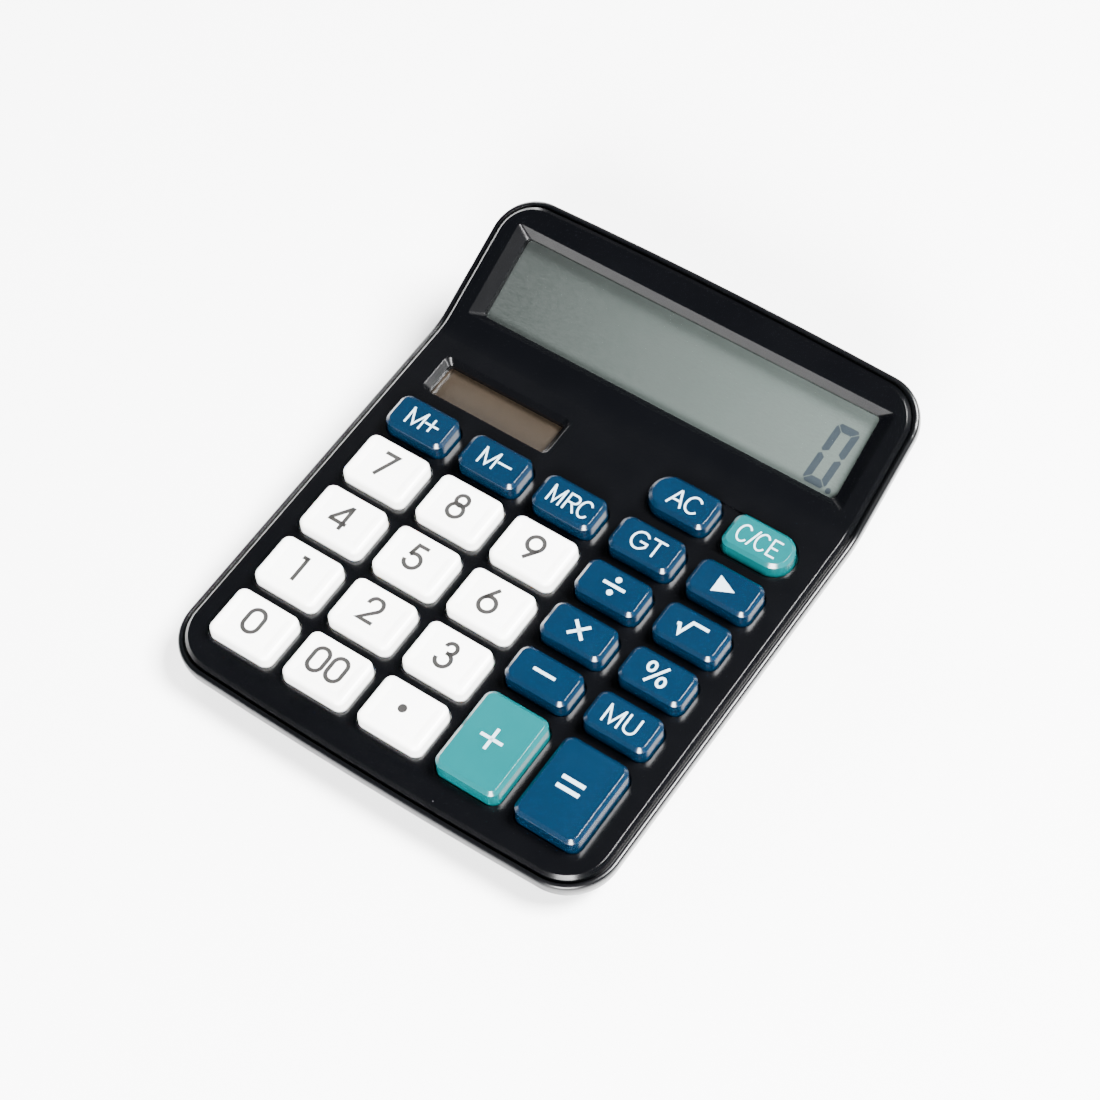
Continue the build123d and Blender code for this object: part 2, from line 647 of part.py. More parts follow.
def battery_lead(side):
    """A lead from a contact plate forward to the underside of the board."""
    radius = 0.6
    x = side * (BAY_HALF_LENGTH - radius - 0.1)
    plate_front = BATTERY_Y - BAY_HALF_WIDTH + 1
    joint = BASE.to_local_coords(Vector(side * 22.0, PCB_REAR - 6, -PCB_BOTTOM))
    below_joint = BASE.to_local_coords(Vector(side * 22.0, PCB_REAR - 6, -PCB_BOTTOM - 3.5))
    route = [(x, plate_front, 10.0), (x, plate_front - 5, 10.0), below_joint, joint]
    path = FilletPolyline(*route, radius=1.2)
    section = Plane(origin=path @ 0, z_dir=path % 0) * Circle(radius)
    return BASE.location * sweep(section, path=path)


# ---------------------------------------------------------------- assembly
def all_nodes():
    nodes = {
        "upper_case": upper_case(),
        "lower_case": lower_case(),
        "battery_door": battery_door(),
        "case_screws": case_screws(),
        "rubber_feet": rubber_feet(),
        "rubber_keypad": keypad(),
        "carbon_pills": carbon_pills(),
        "main_board": main_board(),
        "board_screws": pcb_screws(),
        "display_flex": display_flex(),
        "battery": battery_cell(),
        "battery_spring": battery_spring(),
        "negative_contact": contact_plate(-1),
        "positive_contact": contact_plate(1),
        "battery_lead_black": battery_lead(-1),
        "battery_lead_red": battery_lead(1),
    }
    nodes.update(display_stack())
    nodes.update(solar_parts())
    nodes.update(board_components())
    nodes.update({key.name: key_solid(key) for key in KEYS})
    return nodes


def on_table(shape):
    """The shape in the table frame: Z up, feet at height 0."""
    solids = shape if isinstance(shape, list) else [shape]
    return Compound(children=[TABLE.to_local_coords(solid) for solid in solids])


seated = {name: on_table(shape) for name, shape in all_nodes().items()}
rim_box = seated["lower_case"].bounding_box()
centring = Pos(0, -(rim_box.min.Y + rim_box.max.Y) / 2, 0)
for name, shape in seated.items():
    export_step(centring * shape, f"parts/{name}.step")
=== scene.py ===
import json
from dataclasses import dataclass
from math import acos, atan2, ceil, cos, hypot, radians, sin, tan

import bmesh
import bpy
from mathutils import Matrix, Vector


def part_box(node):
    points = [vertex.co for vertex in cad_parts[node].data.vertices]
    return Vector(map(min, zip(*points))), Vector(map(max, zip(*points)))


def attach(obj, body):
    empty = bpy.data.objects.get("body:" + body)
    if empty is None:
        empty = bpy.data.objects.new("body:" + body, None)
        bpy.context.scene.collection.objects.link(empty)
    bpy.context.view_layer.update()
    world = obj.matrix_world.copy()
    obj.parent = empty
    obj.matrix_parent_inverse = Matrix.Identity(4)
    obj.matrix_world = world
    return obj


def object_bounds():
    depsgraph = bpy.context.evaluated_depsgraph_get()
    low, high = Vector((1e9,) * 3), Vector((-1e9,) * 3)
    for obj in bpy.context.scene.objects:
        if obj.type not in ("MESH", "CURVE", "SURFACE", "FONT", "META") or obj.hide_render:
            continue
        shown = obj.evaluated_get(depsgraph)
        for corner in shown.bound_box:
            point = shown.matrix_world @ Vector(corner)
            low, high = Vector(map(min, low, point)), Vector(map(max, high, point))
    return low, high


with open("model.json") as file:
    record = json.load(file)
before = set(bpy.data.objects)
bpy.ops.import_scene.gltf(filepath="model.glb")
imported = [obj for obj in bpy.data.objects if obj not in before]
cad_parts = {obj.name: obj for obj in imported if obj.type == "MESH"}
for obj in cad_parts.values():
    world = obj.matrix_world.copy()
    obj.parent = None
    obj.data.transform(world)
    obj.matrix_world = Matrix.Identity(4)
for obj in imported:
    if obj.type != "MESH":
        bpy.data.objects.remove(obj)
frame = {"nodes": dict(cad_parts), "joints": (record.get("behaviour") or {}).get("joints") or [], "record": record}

# Looks of the desktop calculator: moulded plastics, printed legends, the display, light and camera.
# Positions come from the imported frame. Legends and display segments are drawn in millimetres.
# The lights are strong enough for a near-white floor, so most of the base colours here are darker than
# the real ones. The record's materials hold the ordinary colours.

CAD_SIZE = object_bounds()
MM = 0.001
CASE = "case"

INK_HEIGHT = 0.03            # how far a printed mark stands on its surface, mm
NUMBER_TRAY = 0.22           # depth of the shallow tray in a number key, mm
LETTER_STROKE = 0.5
DIGIT_STROKE = 1.04
SIGN_STROKE = 0.8
SMALL_STROKE = 0.45
DISPLAY_TILT = 24.5          # display face above the key deck, degrees

ROOM_LIGHT = 0.015           # brightness of the room, then of the glow in front and of the backdrop
GLOW_LIGHT = 0.06
BACKDROP_LIGHT = 6.0
GLOW_EDGES = (-0.95, -0.65)  # Y of the directions between which the glow fades out
BACKDROP_EDGES = (0.02, 0.11)  # Z of the directions between which the backdrop fades out

CAMERA_AZIMUTH = 34.92
CAMERA_ELEVATION = 52.92
CAMERA_DISTANCE = 0.6391
CAMERA_LENS = 89.77
SENSOR_WIDTH = 36.0
AIM_OFFSET = (0.00095, -0.0013)  # the point that the camera looks at, from the middle of the CAD box
AIM_HEIGHT = 0.015


# ---------------------------------------------------------------- planes of the object
def plane_matrix(normal, origin=Vector((0, 0, 0))):
    """A frame with X to the right, Z along the normal and its origin on the plane."""
    x_axis = Vector((1, 0, 0))
    normal = Vector(normal).normalized()
    matrix = Matrix((x_axis, normal.cross(x_axis), normal)).transposed().to_4x4()
    matrix.translation = origin
    return matrix


def local_box(node, plane):
    """Lowest and highest corner of a CAD node, measured along a plane's own axes."""
    inverse = plane.inverted()
    points = [inverse @ vertex.co for vertex in frame["nodes"][node].data.vertices]
    low = Vector([min(point[i] for point in points) for i in range(3)])
    high = Vector([max(point[i] for point in points) for i in range(3)])
    return low, high


def press_axis(node):
    """The direction in which a key travels."""
    joint = next(joint for joint in frame["joints"] if joint["child"] == node)
    return Vector(joint["axis"])


DECK = plane_matrix(-press_axis("key_0"))
DISPLAY = DECK @ Matrix.Rotation(radians(DISPLAY_TILT), 4, "X")


# ---------------------------------------------------------------- strokes, in millimetres
@dataclass
class Stroke:
    """A line of constant width through its points."""

    points: list
    width: float = LETTER_STROKE
    closed: bool = False


@dataclass
class Patch:
    """A filled outline."""

    points: list


def arc(centre, radius, start, end, stretch=1.0):
    """Points along an arc; angles in degrees, and stretch widens it in Y."""
    count = max(2, ceil(abs(end - start) / 7))
    angles = [radians(start + (end - start) * i / count) for i in range(count + 1)]
    return [(centre[0] + radius * cos(a), centre[1] + stretch * radius * sin(a)) for a in angles]


def ring(centre, radius, width, stretch=1.0):
    return Stroke(arc(centre, radius, 0, 360, stretch)[:-1], width, closed=True)


def dot(centre, radius):
    return Patch(arc(centre, radius, 0, 360)[:-1])


def bar(centre, length, width=SIGN_STROKE, angle=0):
    """A straight stroke about its centre."""
    dx = length / 2 * cos(radians(angle))
    dy = length / 2 * sin(radians(angle))
    return Stroke([(centre[0] - dx, centre[1] - dy), (centre[0] + dx, centre[1] + dy)], width)


def tangent_point(start, centre, radius, side):
    """Where a line from the start touches a circle, on one side of it."""
    dx = start[0] - centre[0]
    dy = start[1] - centre[1]
    angle = atan2(dy, dx) + side * acos(radius / hypot(dx, dy))
    return (centre[0] + radius * cos(angle), centre[1] + radius * sin(angle))


# ---------------------------------------------------------------- legends of the number keys
DIGIT_TOP = 4.05
DIGIT_FOOT = -3.05
HALF_DIGIT = DIGIT_STROKE / 2


def stadium(x, width):
    """The nought: two round ends and straight sides."""
    radius = width / 2
    top = DIGIT_TOP - HALF_DIGIT + 0.2 - radius
    foot = DIGIT_FOOT + HALF_DIGIT - 0.05 + radius
    outline = arc((x, top), radius, 0, 180) + arc((x, foot), radius, 180, 360)
    return Stroke(outline, DIGIT_STROKE, closed=True)


def nought():
    return [stadium(-0.3, 4.06)]


def double_nought():
    return [stadium(-2.9, 3.75), stadium(2.3, 3.75)]


def one():
    flag_y = DIGIT_TOP - HALF_DIGIT
    flag = Stroke([(-1.3, flag_y), (0.1, flag_y)], DIGIT_STROKE)
    stem = Stroke([(0.1, DIGIT_FOOT), (0.1, DIGIT_TOP)], DIGIT_STROKE)
    return [flag, stem]


def two():
    foot_y = DIGIT_FOOT + HALF_DIGIT
    top = arc((-0.43, 2.0), 1.87, 187, -38)
    return [Stroke(top + [(-2.25, foot_y), (1.73, foot_y)], DIGIT_STROKE)]


def three():
    upper = arc((-0.32, 2.15), 1.42, 180, -90) + [(-0.85, 0.73)]
    lower = arc((-0.4, -1.13), 1.87, 90, -180)
    return [Stroke(upper, DIGIT_STROKE), Stroke(lower, DIGIT_STROKE)]


def four():
    stem = Stroke([(0.8, -3.2), (0.8, 3.8)], DIGIT_STROKE)
    slope = Stroke([(0.68, 3.5), (-2.75, -1.25)], DIGIT_STROKE)
    return [stem, slope, bar((-0.67, -1.37), 5.0, DIGIT_STROKE)]


def five():
    bowl_centre = (-0.6, -0.68)
    bowl = arc(bowl_centre, 2.0, 142, -176)
    neck = [(1.27, 3.73), (-1.57, 3.73), bowl[0]]
    return [Stroke(neck, DIGIT_STROKE), Stroke(bowl, DIGIT_STROKE)]


def loop_and_tail(centre, radius, tail_end, side):
    """A six or a nine: a full loop and a straight tail that touches it."""
    touch = tangent_point(tail_end, centre, radius, side)
    return [ring(centre, radius, DIGIT_STROKE), Stroke([tail_end, touch], DIGIT_STROKE)]


def six():
    return loop_and_tail((-0.42, -0.82), 2.08, (0.2, 3.9), side=1)


def seven():
    return [Stroke([(-2.47, 3.6), (1.15, 3.6), (-1.65, DIGIT_FOOT)], DIGIT_STROKE)]


def eight():
    return [ring((-0.35, 2.05), 1.52, DIGIT_STROKE), ring((-0.4, -0.98), 1.92, DIGIT_STROKE)]


def nine():
    return loop_and_tail((-0.3, 1.5), 2.05, (-1.1, -3.05), side=1)


def point():
    return [dot((-0.6, 0.77), 1.13)]


# ---------------------------------------------------------------- legends of the function keys
CAP_TOP = 2.3
CAP_FOOT = -2.6
CAP_MIDDLE = (CAP_TOP + CAP_FOOT) / 2


def letter_m(x, width):
    """An M whose stems stand at x and x + width."""
    stems = [Stroke([(stem, CAP_FOOT), (stem, CAP_TOP)]) for stem in (x, x + width)]
    shoulder = CAP_TOP - 0.34
    bottom = (x + width / 2, CAP_FOOT + 0.45)
    return stems + [Stroke([(x + 0.08, shoulder), bottom, (x + width - 0.08, shoulder)])]


def letter_c(x, width, stroke=LETTER_STROKE):
    """A C from x to x + width, open to the right."""
    radius = (width - stroke) / 2
    stretch = (CAP_TOP - CAP_FOOT + 0.25 - stroke) / 2 / radius
    return [Stroke(arc((x + width / 2, CAP_MIDDLE), radius, 38, 322, stretch), stroke)]


def letter_g(x, width):
    radius = (width - LETTER_STROKE) / 2
    centre = (x + width / 2, CAP_MIDDLE)
    stretch = (CAP_TOP - CAP_FOOT + 0.25 - LETTER_STROKE) / 2 / radius
    bowl = arc(centre, radius, 38, 318, stretch)
    right = centre[0] + radius
    shelf = [(right - 0.05, -1.3), (right - 0.05, -0.35), (centre[0] + 0.15, -0.35)]
    return [Stroke(bowl + shelf)]


def letter_r(x, width):
    bowl_radius = 1.12
    right = x + width - LETTER_STROKE / 2
    top = CAP_TOP - LETTER_STROKE / 2
    bowl_x = right - bowl_radius
    waist = top - 2 * bowl_radius
    bowl = [(x, top)] + arc((bowl_x, top - bowl_radius), bowl_radius, 90, -90) + [(x, waist)]
    stem = Stroke([(x, CAP_FOOT), (x, CAP_TOP)])
    leg = Stroke([(bowl_x - 0.35, waist), (right + 0.15, CAP_FOOT)])
    return [stem, Stroke(bowl), leg]


def letter_a(x, width):
    feet = [x, x + width]
    apex = (x + width / 2, CAP_TOP - 0.25)
    sides = [Stroke([(foot, CAP_FOOT), apex]) for foot in feet]
    return sides + [bar((apex[0], -0.9), width * 0.6, LETTER_STROKE)]


def letter_t(x, width):
    middle = x + width / 2
    top = CAP_TOP - LETTER_STROKE / 2
    return [bar((middle, top), width, LETTER_STROKE), Stroke([(middle, CAP_FOOT), (middle, top)])]


def letter_u(x, width):
    radius = width / 2
    curve = arc((x + radius, CAP_FOOT + LETTER_STROKE / 2 + radius), radius, 180, 360)
    return [Stroke([(x, CAP_TOP)] + curve + [(x + width, CAP_TOP)])]


def letter_e(x, width):
    ends = [CAP_TOP - SMALL_STROKE / 2, CAP_FOOT + SMALL_STROKE / 2]
    spine = [(x + width, ends[0]), (x, ends[0]), (x, ends[1]), (x + width, ends[1])]
    middle = Stroke([(x, CAP_MIDDLE), (x + width - 0.25, CAP_MIDDLE)], SMALL_STROKE)
    return [Stroke(spine, SMALL_STROKE), middle]


def plus_sign(centre, size, width):
    return [bar(centre, size, width), bar(centre, size, width, angle=90)]


def memory_plus():
    return letter_m(-3.5, 3.95) + plus_sign((2.9, -0.15), 3.8, LETTER_STROKE)


def memory_minus():
    return letter_m(-3.5, 3.95) + [bar((2.9, -0.1), 3.8, LETTER_STROKE)]


def memory_recall():
    return letter_m(-4.95, 3.2) + letter_r(-0.45, 3.0) + letter_c(2.75, 3.5)


def grand_total():
    return letter_g(-4.0, 4.6) + letter_t(0.85, 3.75)


def all_clear():
    return letter_a(-3.15, 3.75) + letter_c(0.9, 4.2)


def clear_entry():
    slash = Stroke([(-2.55, CAP_FOOT), (-1.2, CAP_TOP)], SMALL_STROKE)
    letters = letter_c(-6.1, 3.4, SMALL_STROKE) + letter_c(-1.2, 3.4, SMALL_STROKE)
    return letters + [slash] + letter_e(2.75, 2.2)


def markup():
    return letter_m(-4.25, 3.85) + letter_u(0.9, 2.95)


def divide():
    return [bar((0.2, 0.1), 5.85), dot((0.2, 2.02), 0.76), dot((0.2, -1.82), 0.76)]


def multiply():
    return [bar((0, 0), 5.6, angle=45), bar((0, 0), 5.6, angle=-45)]


def minus():
    return [bar((-0.1, 0.25), 5.85)]


def equals():
    return [bar((-0.5, 1.65), 5.95, 1.0), bar((-0.5, -0.8), 5.95, 1.0)]


def plus():
    return plus_sign((-0.42, 0.5), 5.9, SIGN_STROKE)


def correct():
    return [Patch([(-2.23, -2.77), (2.85, -0.4), (-2.23, 2.0)])]


def square_root():
    return [Stroke([(-3.75, -0.1), (-3.15, 0.0), (-2.15, -2.2), (-0.6, 1.75), (3.5, 1.75)], 0.8)]


def percent():
    rings = [ring(centre, 0.9, 0.66, stretch=1.33) for centre in ((-2.2, 1.15), (1.7, -1.35))]
    return rings + [Stroke([(-2.0, -2.9), (1.6, 2.65)], 0.66)]


LEGENDS = {
    "key_0": nought, "key_00": double_nought, "key_point": point,
    "key_1": one, "key_2": two, "key_3": three,
    "key_4": four, "key_5": five, "key_6": six,
    "key_7": seven, "key_8": eight, "key_9": nine,
    "key_memory_plus": memory_plus, "key_memory_minus": memory_minus, "key_memory_recall": memory_recall,
    "key_grand_total": grand_total, "key_divide": divide, "key_multiply": multiply, "key_minus": minus,
    "key_correct": correct, "key_square_root": square_root, "key_percent": percent, "key_markup": markup,
    "key_plus": plus, "key_equals": equals, "key_all_clear": all_clear, "key_clear_entry": clear_entry,
}


# ---------------------------------------------------------------- printed meshes
def offset_sides(stroke):
    """Left and right points of a stroke, mitred at its corners."""
    points = [Vector(point) for point in stroke.points]
    count = len(points)
    pairs = []
    for i, here in enumerate(points):
        before = points[i - 1] if (i or stroke.closed) else None
        after = points[(i + 1) % count] if (i < count - 1 or stroke.closed) else None
        directions = []
        if before is not None:
            directions.append((here - before).normalized())
        if after is not None:
            directions.append((after - here).normalized())
        along = sum(directions, Vector((0, 0))).normalized()
        reach = stroke.width / 2 / max(0.45, along.dot(directions[0]))
        across = Vector((-along.y, along.x)) * reach
        pairs.append((here + across, here - across))
    return pairs


def add_prism(mesh, loop, height):
    """A closed flat outline as a thin solid between -height and +height."""
    low = [mesh.verts.new((point[0], point[1], -height)) for point in loop]
    high = [mesh.verts.new((point[0], point[1], height)) for point in loop]
    count = len(loop)
    mesh.faces.new(high)
    mesh.faces.new(low[::-1])
    for i in range(count):
        j = (i + 1) % count
        mesh.faces.new((low[i], low[j], high[j], high[i]))


def add_stroke(mesh, stroke, height):
    """A stroke as a row of quads with side walls."""
    pairs = offset_sides(stroke)
    rows = []
    for left, right in pairs:
        corners = ((left, height), (right, height), (right, -height), (left, -height))
        rows.append([mesh.verts.new((point.x, point.y, z)) for point, z in corners])
    count = len(rows)
    last = count if stroke.closed else count - 1
    for i in range(last):
        row = rows[i]
        following = rows[(i + 1) % count]
        for side in range(4):
            other = (side + 1) % 4
            mesh.faces.new((row[side], row[other], following[other], following[side]))
    if not stroke.closed:
        mesh.faces.new(rows[0][::-1])
        mesh.faces.new(rows[-1])


def printed_piece(name, shapes, plane, body, material, height=INK_HEIGHT):
    """A mesh of strokes and patches that lies on a plane and rides on a body."""
    mesh = bmesh.new()
    for shape in shapes:
        if isinstance(shape, Stroke):
            add_stroke(mesh, shape, height)
        else:
            add_prism(mesh, shape.points, height)
    bmesh.ops.recalc_face_normals(mesh, faces=mesh.faces)
    mesh.transform(plane @ Matrix.Diagonal((MM, MM, MM, 1)))
    data = bpy.data.meshes.new(name)
    mesh.to_mesh(data)
    mesh.free()
    data.materials.append(material)
    piece = bpy.data.objects.new(name, data)
    bpy.context.scene.collection.objects.link(piece)
    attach(piece, body)


def key_top(node, tray=0.0):
    """A plane in the middle of a key's top."""
    low, high = local_box(node, DECK)
    centre = Vector(((low.x + high.x) / 2, (low.y + high.y) / 2, high.z - tray * MM))
    return DECK @ Matrix.Translation(centre)


# ---------------------------------------------------------------- materials
class Graph:
    """A material's node tree with a Principled shader at its end."""

    def __init__(self, name):
        self.material = bpy.data.materials.new(name)
        self.material.use_nodes = True
        self.tree = self.material.node_tree
        self.shader = self.tree.nodes["Principled BSDF"]
        self.place = self.add("ShaderNodeTexCoord").outputs["Object"]

    def add(self, kind, settings=None, **inputs):
        """A new node; an input is a value or another node's output."""
        node = self.tree.nodes.new(kind)
        for key, value in (settings or {}).items():
            setattr(node, key, value)
        for key, value in inputs.items():
            self.feed(node.inputs[key.replace("_", " ")], value)
        return node

    def feed(self, socket, value):
        if isinstance(value, bpy.types.NodeSocket):
            self.tree.links.new(value, socket)
        else:
            socket.default_value = value

    def set(self, **inputs):
        """Values or links on the Principled shader."""
        for key, value in inputs.items():
            self.feed(self.shader.inputs[key.replace("_", " ")], value)

    def noise(self, size, detail=3.0, vector=None):
        """Noise from 0 to 1 whose features are about this size, in metres."""
        node = self.add("ShaderNodeTexNoise", Scale=1 / size, Detail=detail, Vector=vector or self.place)
        return node.outputs["Fac"]

    def ramp(self, value, low, high, out_low, out_high):
        """The value mapped from one range to another, and held at its ends."""
        node = self.add("ShaderNodeMapRange", Value=value)
        limits = {"From Min": low, "From Max": high, "To Min": out_low, "To Max": out_high}
        for key, limit in limits.items():
            node.inputs[key].default_value = limit
        return node.outputs["Result"]

    def blend(self, factor, first, second):
        """Two colours mixed by a factor."""
        node = self.add("ShaderNodeMix", {"data_type": "RGBA"})
        self.feed(node.inputs["Factor"], factor)
        self.feed(node.inputs["A"], first)
        self.feed(node.inputs["B"], second)
        return node.outputs["Result"]

    def math(self, operation, first, second):
        node = self.add("ShaderNodeMath", {"operation": operation})
        self.feed(node.inputs[0], first)
        self.feed(node.inputs[1], second)
        return node.outputs["Value"]

    def bump(self, height, distance, strength=1.0, normal=None):
        node = self.add("ShaderNodeBump", Height=height, Strength=strength, Distance=distance)
        if normal is not None:
            self.feed(node.inputs["Normal"], normal)
        return node.outputs["Normal"]

    def specks(self, spacing, size, share):
        """Sparse dust: 1 inside a speck, 0 elsewhere."""
        cells = self.add("ShaderNodeTexVoronoi", Scale=1 / spacing, Vector=self.place)
        near = self.math("LESS_THAN", cells.outputs["Distance"], size / spacing)
        channels = self.add("ShaderNodeSeparateColor", Color=cells.outputs["Color"])
        chosen = self.math("LESS_THAN", channels.outputs["Red"], share)
        return self.math("MULTIPLY", near, chosen)


def scaled(rgba, factor):
    return tuple(min(1.0, channel * factor) for channel in rgba[:3]) + (1.0,)


def moulded_plastic(name, rgba, roughness, grain, edge=0.15, dust=0.0, gloss_level=0.5):
    """Injection-moulded plastic: fine grain, uneven gloss, soft edges and a little dust."""
    graph = Graph(name)
    patches = graph.noise(0.035, 2.0)
    base = graph.blend(graph.ramp(patches, 0.3, 0.7, 0.0, 1.0), scaled(rgba, 0.93), scaled(rgba, 1.07))
    smears = graph.noise(0.009, 4.0)
    gloss = graph.ramp(smears, 0.3, 0.7, roughness * 0.95, roughness * 1.05)
    if dust:
        specks = graph.specks(0.0035, 0.00013, dust)
        base = graph.blend(specks, base, (0.03, 0.03, 0.032, 1.0))
    soft = graph.add("ShaderNodeBevel", {"samples": 4}, Radius=edge * MM).outputs["Normal"]
    normal = graph.bump(graph.noise(0.00022, 2.0), grain * MM, 0.8, soft)
    graph.set(Base_Color=base, Roughness=gloss, Normal=normal)
    graph.shader.inputs["Specular IOR Level"].default_value = gloss_level
    return graph.material


def key_plastic(name, rgba, roughness):
    """Smooth translucent key plastic."""
    material = moulded_plastic(name, rgba, roughness, grain=0.0015, edge=0.12, dust=0.008)
    shader = material.node_tree.nodes["Principled BSDF"]
    shader.inputs["Subsurface Weight"].default_value = 0.12
    shader.inputs["Subsurface Radius"].default_value = (0.0012, 0.0010, 0.0008)
    shader.inputs["Subsurface Scale"].default_value = 0.6
    return material


def ink(name, rgba):
    """Printed ink, slightly uneven in cover."""
    graph = Graph(name)
    cover = graph.noise(0.0005, 3.0)
    base = graph.blend(graph.ramp(cover, 0.35, 0.7, 0.0, 1.0), rgba, scaled(rgba, 0.88))
    graph.set(Base_Color=base, Roughness=graph.ramp(cover, 0.3, 0.7, 0.38, 0.5))
    return graph.material


def rubber(name, rgba):
    graph = Graph(name)
    patches = graph.noise(0.004, 4.0)
    base = graph.blend(patches, scaled(rgba, 0.85), scaled(rgba, 1.2))
    normal = graph.bump(graph.noise(0.0003, 3.0), 0.02 * MM, 0.6)
    graph.set(Base_Color=base, Roughness=graph.ramp(patches, 0.3, 0.7, 0.62, 0.8), Normal=normal)
    return graph.material


def plated_metal(name, rgba, roughness):
    """Plated steel with fine drawing marks."""
    graph = Graph(name)
    streaks = graph.add("ShaderNodeMapping", Vector=graph.place, Scale=(1.0, 6.0, 6.0)).outputs["Vector"]
    marks = graph.noise(0.001, 3.0, streaks)
    base = graph.blend(marks, scaled(rgba, 0.85), scaled(rgba, 1.1))
    normal = graph.bump(marks, 0.01 * MM, 0.4)
    gloss = graph.ramp(marks, 0.3, 0.7, roughness * 0.8, roughness * 1.3)
    graph.set(Base_Color=base, Roughness=gloss, Normal=normal)
    graph.shader.inputs["Metallic"].default_value = 1.0
    return graph.material


def clear_sheet(name, tint, roughness):
    """A clear sheet: it dims what lies behind it a little and has a faint gloss."""
    graph = Graph(name)
    smears = graph.noise(0.012, 3.0)
    graph.set(Roughness=graph.ramp(smears, 0.3, 0.7, roughness * 0.5, roughness * 1.5))
    graph.set(Alpha=graph.ramp(smears, 0.3, 0.7, 0.055, 0.065))
    graph.shader.inputs["Base Color"].default_value = tint
    graph.shader.inputs["Specular IOR Level"].default_value = 0.3
    graph.material.surface_render_method = "BLENDED"
    return graph.material


def display_film():
    """The front film of the display over its reflector: grey-green, with a painted reflection that makes it darker
    to the left and lighter to the right.
    """
    low, high = local_box("lcd_front_polarizer", DISPLAY)
    graph = Graph("display_film")
    channels = graph.add("ShaderNodeSeparateXYZ", Vector=graph.place)
    across = graph.ramp(channels.outputs["X"], low.x, high.x, 0.0, 1.0)
    # Painted reflection: the colour goes from dark at the film's left edge to light at its right edge.
    painted_reflection_tone = graph.blend(across, (0.0045, 0.0072, 0.0060, 1), (0.034, 0.046, 0.041, 1))
    streaks = graph.add("ShaderNodeMapping", Vector=graph.place, Scale=(0.25, 1.0, 1.0)).outputs["Vector"]
    grain = graph.noise(0.0004, 3.0, streaks)
    base = graph.blend(graph.ramp(grain, 0.3, 0.7, 0.0, 0.16), painted_reflection_tone, (0.008, 0.011, 0.010, 1))
    normal = graph.bump(grain, 0.01 * MM, 0.5)
    graph.set(Base_Color=base, Roughness=graph.ramp(grain, 0.3, 0.7, 0.5, 0.62), Normal=normal)
    return graph.material


def solar_film():
    """Brown amorphous silicon in four cells with thin lines between them."""
    low, high = local_box("solar_cell", DECK)
    graph = Graph("solar_film")
    channels = graph.add("ShaderNodeSeparateXYZ", Vector=graph.place)
    cell = graph.ramp(channels.outputs["X"], low.x, high.x, 0.0, 4.0)
    from_line = graph.math("PINGPONG", cell, 0.5)
    line = graph.math("LESS_THAN", from_line, 0.012)
    cloud = graph.ramp(graph.noise(0.006, 3.0), 0.3, 0.7, 0.0, 1.0)
    base = graph.blend(cloud, (0.0125, 0.0085, 0.0048, 1), (0.015, 0.0102, 0.006, 1))
    base = graph.blend(line, base, (0.012, 0.008, 0.005, 1))
    grain = graph.noise(0.0003, 3.0)
    graph.set(Base_Color=base, Roughness=graph.ramp(grain, 0.3, 0.7, 0.32, 0.42))
    graph.shader.inputs["Coat Weight"].default_value = 0.6
    graph.shader.inputs["Coat Roughness"].default_value = 0.05
    return graph.material


def circuit_board():
    """Green solder mask with faint copper tracks under it."""
    graph = Graph("circuit_board")
    tracks = graph.add("ShaderNodeTexBrick", Scale=420.0, Vector=graph.place)
    tracks.inputs["Color1"].default_value = (0.03, 0.20, 0.08, 1)
    tracks.inputs["Color2"].default_value = (0.04, 0.25, 0.10, 1)
    tracks.inputs["Mortar"].default_value = (0.10, 0.36, 0.12, 1)
    grain = graph.noise(0.0008, 3.0)
    normal = graph.bump(tracks.outputs["Fac"], 0.02 * MM, 0.4)
    gloss = graph.ramp(grain, 0.3, 0.7, 0.3, 0.45)
    graph.set(Base_Color=tracks.outputs["Color"], Roughness=gloss, Normal=normal)
    return graph.material


def battery_sleeve():
    """A printed sleeve: dark with a copper-coloured band at the positive end, no lettering."""
    low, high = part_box("battery")
    graph = Graph("battery_sleeve")
    channels = graph.add("ShaderNodeSeparateXYZ", Vector=graph.place)
    along = graph.ramp(channels.outputs["X"], low.x, high.x, 0.0, 1.0)
    band = graph.math("GREATER_THAN", along, 0.72)
    sleeve = graph.blend(band, (0.012, 0.045, 0.022, 1), (0.43, 0.19, 0.06, 1))
    bare = graph.math("GREATER_THAN", along, 0.965)
    base = graph.blend(bare, sleeve, (0.5, 0.5, 0.5, 1))
    gloss = graph.ramp(graph.noise(0.003, 3.0), 0.3, 0.7, 0.2, 0.34)
    graph.set(Base_Color=base, Roughness=gloss, Metallic=bare)
    return graph.material


def printed_film():
    """The amber ribbon with its rows of conductors."""
    graph = Graph("printed_film")
    rows = graph.add("ShaderNodeTexWave", {"bands_direction": "X"}, Scale=160.0, Vector=graph.place)
    base = graph.blend(rows.outputs["Fac"], (0.5, 0.19, 0.02, 1), (0.19, 0.07, 0.012, 1))
    graph.set(Base_Color=base, Roughness=graph.ramp(graph.noise(0.002, 3.0), 0.3, 0.7, 0.3, 0.45))
    return graph.material


# ---------------------------------------------------------------- dressing the CAD nodes
def dress(node, material):
    """Puts one material on a CAD node."""
    data = frame["nodes"][node].data
    data.materials.clear()
    data.materials.append(material)


